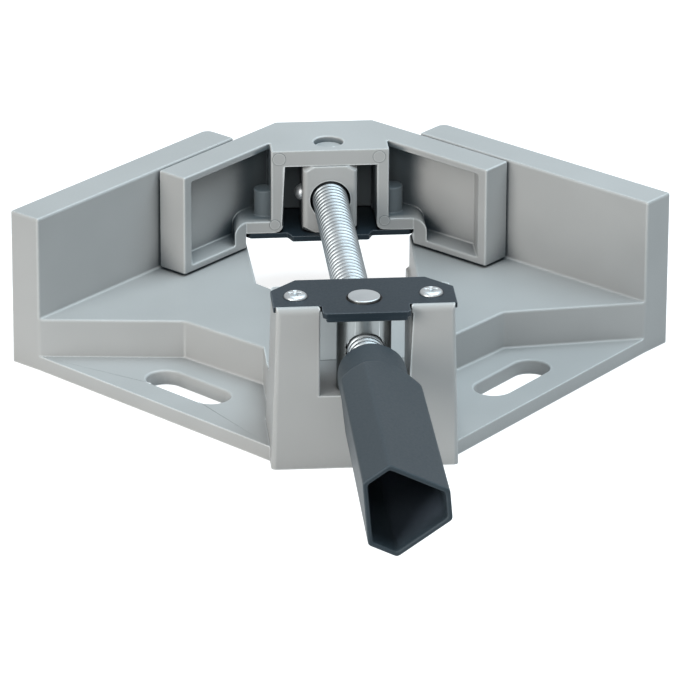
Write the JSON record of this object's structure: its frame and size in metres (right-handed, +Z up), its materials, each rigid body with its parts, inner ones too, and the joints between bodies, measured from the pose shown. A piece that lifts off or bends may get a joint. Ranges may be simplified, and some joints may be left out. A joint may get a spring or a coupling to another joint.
{
  "type": "corner clamp",
  "caption": "Right-angle corner clamp: cast base with two upright fences, a swivelling cast jaw, a lead screw through a swivel nut, and a hollow three-flat handle.",
  "frame": {"origin": "under the middle of the clamp's overall box, on the plane it stands on", "axes": "+Y runs along the lead screw from the handle towards the corner of the work, +Z up, +X to the right seen from the handle"},
  "size_m": [0.215, 0.2936, 0.0581],
  "materials": {
    "casting": "satin paint-like cast finish",
    "black_steel": "satin black",
    "zinc_steel": "bright zinc plate",
    "handle_plastic": "moulded, slightly glossy"
  },
  "bodies": {
    "base": {"base": "casting", "nut_plate": "black_steel", "nut_plate_screw_left": "zinc_steel", "nut_plate_screw_right": "zinc_steel"},
    "nut": {"swivel_nut": "zinc_steel"},
    "block": {"swivel_block": "casting", "keeper_pin": "zinc_steel"},
    "screw": {"lead_screw": "zinc_steel", "handle": "handle_plastic", "handle_pin": "zinc_steel"},
    "jaw": {"moving_jaw": "casting", "jaw_plate": "black_steel", "jaw_plate_screw_left": "zinc_steel", "jaw_plate_screw_right": "zinc_steel"}
  },
  "joints": [
    {"name": "nut_swivel", "type": "hinge", "parent": "base", "child": "nut", "pos_m": [0, -0.01067, 0.0396], "axis": [0, 0, 1], "range_deg": [-0.3, 0.3]},
    {"name": "screw_travel", "type": "slide", "parent": "nut", "child": "block", "axis": [0, -0.9995, 0.0314], "range_m": [0, 0.096]},
    {"name": "screw_turn", "type": "hinge", "parent": "block", "child": "screw", "pos_m": [0, 0.12783, 0.03525], "axis": [0, -0.9995, 0.0314], "range_deg": [0, 11520]},
    {"name": "jaw_swivel", "type": "hinge", "parent": "block", "child": "jaw", "pos_m": [0, 0.12783, 0.03525], "axis": [0, 0, 1], "range_deg": [-0.3, 0.3]}
  ],
  "couplings": [
    {"joint": "screw_turn", "follows": "screw_travel", "rad_per_m": 2094.4}
  ]
}
